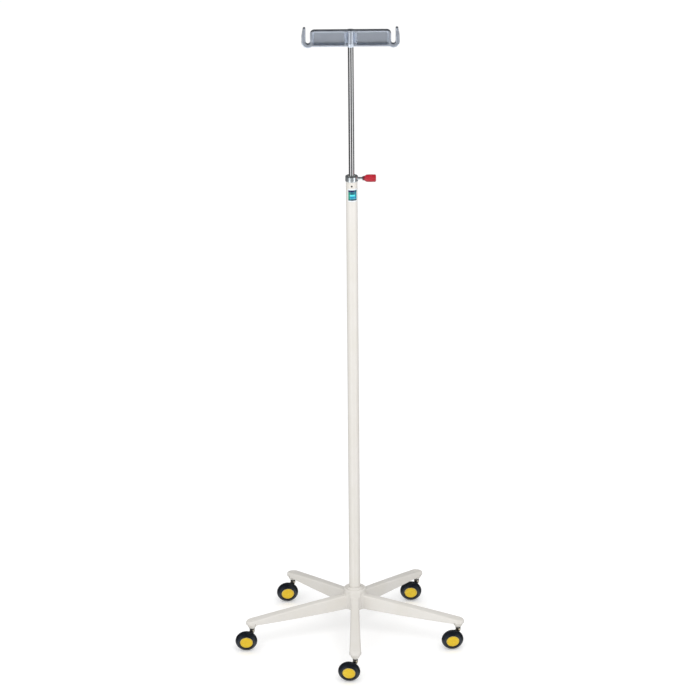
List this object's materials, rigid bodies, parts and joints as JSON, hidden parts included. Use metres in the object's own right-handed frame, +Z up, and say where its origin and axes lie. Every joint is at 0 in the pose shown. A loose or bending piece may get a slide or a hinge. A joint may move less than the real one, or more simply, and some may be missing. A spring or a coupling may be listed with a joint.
{
  "type": "mobile infusion stand",
  "caption": "Mobile infusion stand: five-arm cast base on swivel castors, tubular mast with a sliding chrome rod, clamp knob and two-hook head.",
  "frame": {"origin": "the point on the floor below the mast's axis", "axes": "+Z up along the mast, +X to the clamp knob's side, and -Y along the base's first arm"},
  "size_m": [0.5229, 0.4803, 1.4493],
  "materials": {
    "base_paint": "warm white powder coat, satin",
    "tube_paint": "warm white powder coat, satin",
    "chrome": "bright chrome plate",
    "zinc_steel": "zinc plated steel",
    "head_metal": "die-cast alloy with a satin, slightly blue plating",
    "nylon": "natural white nylon",
    "red_plastic": "red moulded plastic, half gloss",
    "yellow_plastic": "yellow moulded plastic, half gloss",
    "tyre_rubber": "black rubber, smooth",
    "black_nylon": "black nylon",
    "label_film": "printed film in teal and white bands"
  },
  "bodies": {
    "stand": {"base_casting": "base_paint", "base_bolt": "zinc_steel", "base_washer": "zinc_steel", "tube_plug": "zinc_steel", "outer_tube": "tube_paint", "collar": "chrome", "collar_pin": "zinc_steel", "guide_bush": "nylon", "label": "label_film", "castor_1_socket_bush": "nylon", "castor_1_stem": "zinc_steel", "castor_2_socket_bush": "nylon", "castor_2_stem": "zinc_steel", "castor_3_socket_bush": "nylon", "castor_3_stem": "zinc_steel", "castor_4_socket_bush": "nylon", "castor_4_stem": "zinc_steel", "castor_5_socket_bush": "nylon", "castor_5_stem": "zinc_steel"},
    "rod_glide": {"rod_end_bush": "nylon"},
    "rod": {"inner_rod": "chrome", "rod_end_slug": "zinc_steel", "rod_end_screw": "zinc_steel", "hook_head": "head_metal", "head_set_screw": "zinc_steel"},
    "clamp_tip": {"clamp_pad": "nylon"},
    "clamp_knob": {"clamp_screw": "chrome", "clamp_knob": "red_plastic"},
    "castor_1_fork": {"castor_1_dust_ring": "black_nylon", "castor_1_horn": "zinc_steel", "castor_1_axle": "zinc_steel"},
    "castor_1_wheel": {"castor_1_wheel_core": "black_nylon", "castor_1_tyre": "tyre_rubber", "castor_1_cap": "yellow_plastic"},
    "castor_2_fork": {"castor_2_dust_ring": "black_nylon", "castor_2_horn": "zinc_steel", "castor_2_axle": "zinc_steel"},
    "castor_2_wheel": {"castor_2_wheel_core": "black_nylon", "castor_2_tyre": "tyre_rubber", "castor_2_cap": "yellow_plastic"},
    "castor_3_fork": {"castor_3_dust_ring": "black_nylon", "castor_3_horn": "zinc_steel", "castor_3_axle": "zinc_steel"},
    "castor_3_wheel": {"castor_3_wheel_core": "black_nylon", "castor_3_tyre": "tyre_rubber", "castor_3_cap": "yellow_plastic"},
    "castor_4_fork": {"castor_4_dust_ring": "black_nylon", "castor_4_horn": "zinc_steel", "castor_4_axle": "zinc_steel"},
    "castor_4_wheel": {"castor_4_wheel_core": "black_nylon", "castor_4_tyre": "tyre_rubber", "castor_4_cap": "yellow_plastic"},
    "castor_5_fork": {"castor_5_dust_ring": "black_nylon", "castor_5_horn": "zinc_steel", "castor_5_axle": "zinc_steel"},
    "castor_5_wheel": {"castor_5_wheel_core": "black_nylon", "castor_5_tyre": "tyre_rubber", "castor_5_cap": "yellow_plastic"}
  },
  "joints": [
    {"name": "rod_slide", "type": "slide", "parent": "stand", "child": "rod_glide", "axis": [0, 0, 1], "range_m": [-0.29, 0.5]},
    {"name": "rod_turn", "type": "hinge", "parent": "rod_glide", "child": "rod", "pos_m": [0, 0, 1.104], "axis": [0, 0, 1], "continuous": true},
    {"name": "clamp_travel", "type": "slide", "parent": "stand", "child": "clamp_tip", "axis": [1, 0, 0], "range_m": [0, 0.002]},
    {"name": "clamp_turn", "type": "hinge", "parent": "clamp_tip", "child": "clamp_knob", "pos_m": [0.03, 0, 1.104], "axis": [1, 0, 0], "range_deg": [0, 720]},
    {"name": "castor_1_swivel", "type": "hinge", "parent": "stand", "child": "castor_1_fork", "pos_m": [0, -0.2476, 0.048], "axis": [0, 0, 1], "continuous": true},
    {"name": "castor_1_roll", "type": "hinge", "parent": "castor_1_fork", "child": "castor_1_wheel", "pos_m": [-0.01399, -0.2526, 0.02455], "axis": [-0.0846, -0.9666, -0.2419], "continuous": true},
    {"name": "castor_2_swivel", "type": "hinge", "parent": "stand", "child": "castor_2_fork", "pos_m": [0.23548, -0.07651, 0.048], "axis": [0, 0, 1], "continuous": true},
    {"name": "castor_2_roll", "type": "hinge", "parent": "castor_2_fork", "child": "castor_2_wheel", "pos_m": [0.22264, -0.08398, 0.02455], "axis": [0.093, -0.9658, -0.2419], "continuous": true},
    {"name": "castor_3_swivel", "type": "hinge", "parent": "stand", "child": "castor_3_fork", "pos_m": [0.14554, 0.20031, 0.048], "axis": [0, 0, 1], "continuous": true},
    {"name": "castor_3_roll", "type": "hinge", "parent": "castor_3_fork", "child": "castor_3_wheel", "pos_m": [0.13193, 0.19435, 0.02455], "axis": [-0.0169, -0.9701, -0.2419], "continuous": true},
    {"name": "castor_4_swivel", "type": "hinge", "parent": "stand", "child": "castor_4_fork", "pos_m": [-0.14554, 0.20031, 0.048], "axis": [0, 0, 1], "continuous": true},
    {"name": "castor_4_roll", "type": "hinge", "parent": "castor_4_fork", "child": "castor_4_wheel", "pos_m": [-0.15838, 0.19285, 0.02455], "axis": [0.093, -0.9658, -0.2419], "continuous": true},
    {"name": "castor_5_swivel", "type": "hinge", "parent": "stand", "child": "castor_5_fork", "pos_m": [-0.23548, -0.07651, 0.048], "axis": [0, 0, 1], "continuous": true},
    {"name": "castor_5_roll", "type": "hinge", "parent": "castor_5_fork", "child": "castor_5_wheel", "pos_m": [-0.24882, -0.08306, 0.02455], "axis": [0.0254, -0.97, -0.2419], "continuous": true}
  ],
  "couplings": [
    {"joint": "clamp_travel", "follows": "clamp_turn", "m_per_rad": 0.00015915}
  ]
}
